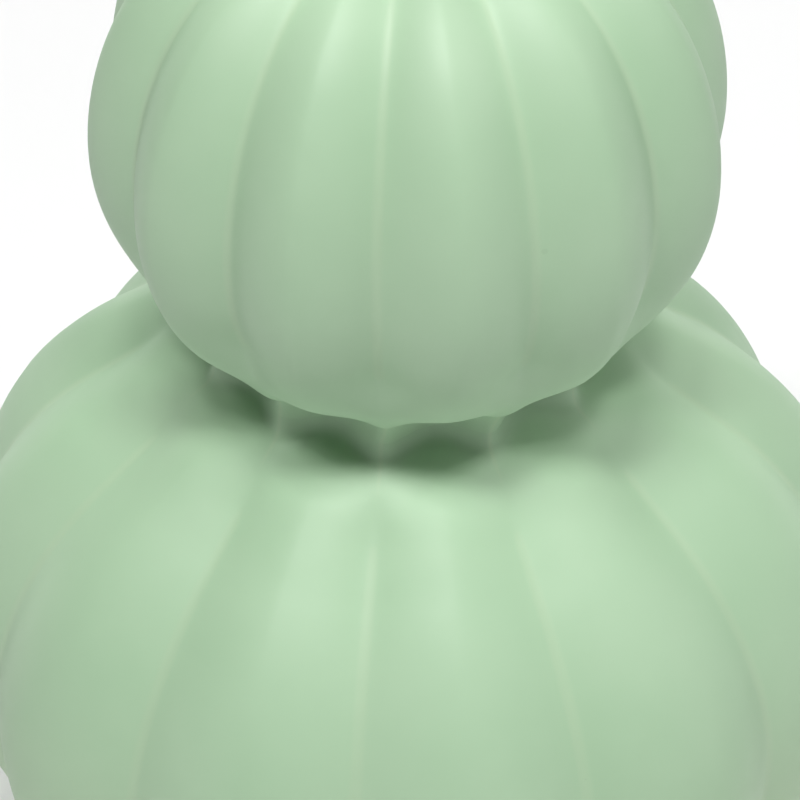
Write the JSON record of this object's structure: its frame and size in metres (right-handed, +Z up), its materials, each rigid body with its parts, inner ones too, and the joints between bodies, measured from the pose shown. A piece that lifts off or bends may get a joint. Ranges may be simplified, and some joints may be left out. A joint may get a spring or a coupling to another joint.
{
  "type": "stacked ceramic pumpkin figure",
  "caption": "Free-standing hollow ceramic figure of a small lobed pumpkin luted on top of a larger one, with a short stem and felt foot pads, in matte sage-green glaze.",
  "frame": {"origin": "on the floor under the middle of the lower pumpkin", "axes": "+Z up along the figure's axis, -Y towards the front, +X to the right seen from the front"},
  "size_m": [0.175, 0.175, 0.254],
  "materials": {
    "sage_glaze": "matte satin glaze",
    "felt": "pressed wool felt"
  },
  "bodies": {
    "root": {"lower_pumpkin": "sage_glaze", "neck_luting_ring": "sage_glaze", "upper_pumpkin": "sage_glaze", "stem_luting_ring": "sage_glaze", "stem": "sage_glaze", "foot_pad_1": "felt", "foot_pad_2": "felt", "foot_pad_3": "felt", "foot_pad_4": "felt"}
  },
  "joints": []
}
